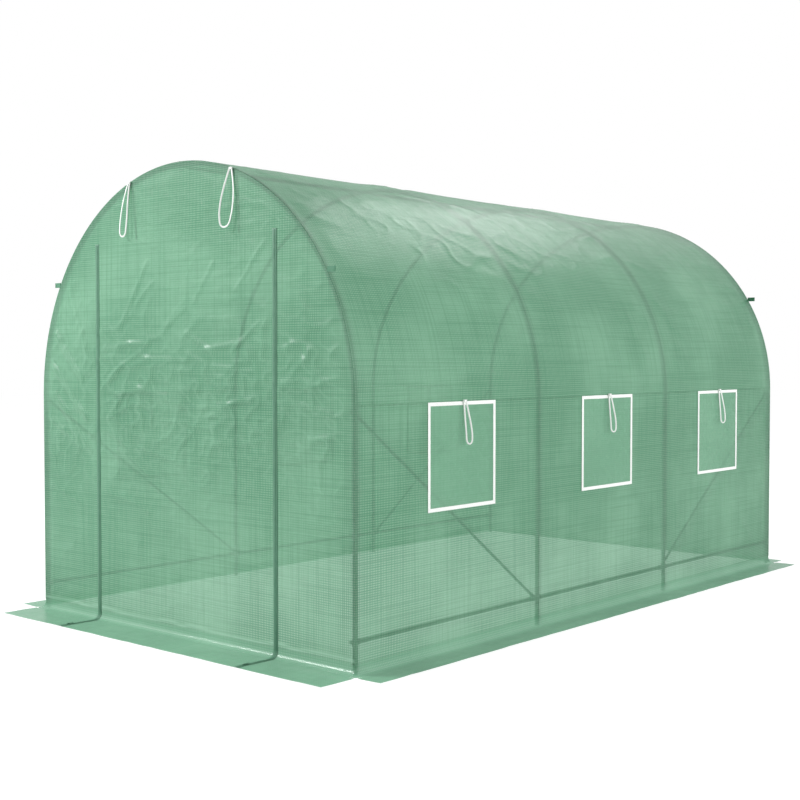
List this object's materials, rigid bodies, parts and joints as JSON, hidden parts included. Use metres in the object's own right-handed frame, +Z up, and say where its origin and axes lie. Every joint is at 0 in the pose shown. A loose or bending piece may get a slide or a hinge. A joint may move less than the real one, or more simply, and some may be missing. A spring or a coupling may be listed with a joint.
{
  "type": "polytunnel greenhouse",
  "caption": "Walk-in tunnel greenhouse: round-topped tube frame under a translucent green woven cover, with a zipped roll-up door, roll-up side windows and loose ground skirts.",
  "frame": {"origin": "middle of the footprint, skirts included, on the ground", "axes": "+Z up, +Y from the door to the back wall, +X to the right seen from the door"},
  "size_m": [2.324, 3.858, 2.0218],
  "materials": {
    "frame_tube": "dark green powder coat on steel tube, satin",
    "cover_cloth": "translucent woven sheet with a fine grid of reinforcing threads",
    "skirt_cloth": "translucent woven sheet, hemmed",
    "zip_tape": "woven tape with a moulded coil",
    "window_mesh": "fine insect mesh",
    "window_cloth": "smooth translucent sheet",
    "edge_tape": "doubled webbing",
    "white_tape": "woven tape, stitched"
  },
  "bodies": {
    "root": {"front_hoop_legs": "frame_tube", "front_hoop_bow": "frame_tube", "second_hoop_legs": "frame_tube", "second_hoop_bow": "frame_tube", "third_hoop_legs": "frame_tube", "third_hoop_bow": "frame_tube", "rear_hoop_legs": "frame_tube", "rear_hoop_bow": "frame_tube", "low_rail_left": "frame_tube", "low_rail_right": "frame_tube", "ridge_beam": "frame_tube", "braces_left": "frame_tube", "braces_right": "frame_tube", "roof_cover": "cover_cloth", "side_cover_left": "cover_cloth", "side_cover_right": "cover_cloth", "front_wall": "cover_cloth", "rear_wall": "cover_cloth", "door_panel": "cover_cloth", "skirt_front": "skirt_cloth", "skirt_door": "skirt_cloth", "skirt_rear": "skirt_cloth", "skirt_left": "skirt_cloth", "skirt_right": "skirt_cloth", "door_zips": "zip_tape", "window_screens": "window_mesh", "window_flaps": "window_cloth", "guy_tabs": "edge_tape", "window_tapes": "white_tape", "door_ties": "white_tape", "window_ties": "white_tape"}
  },
  "joints": []
}
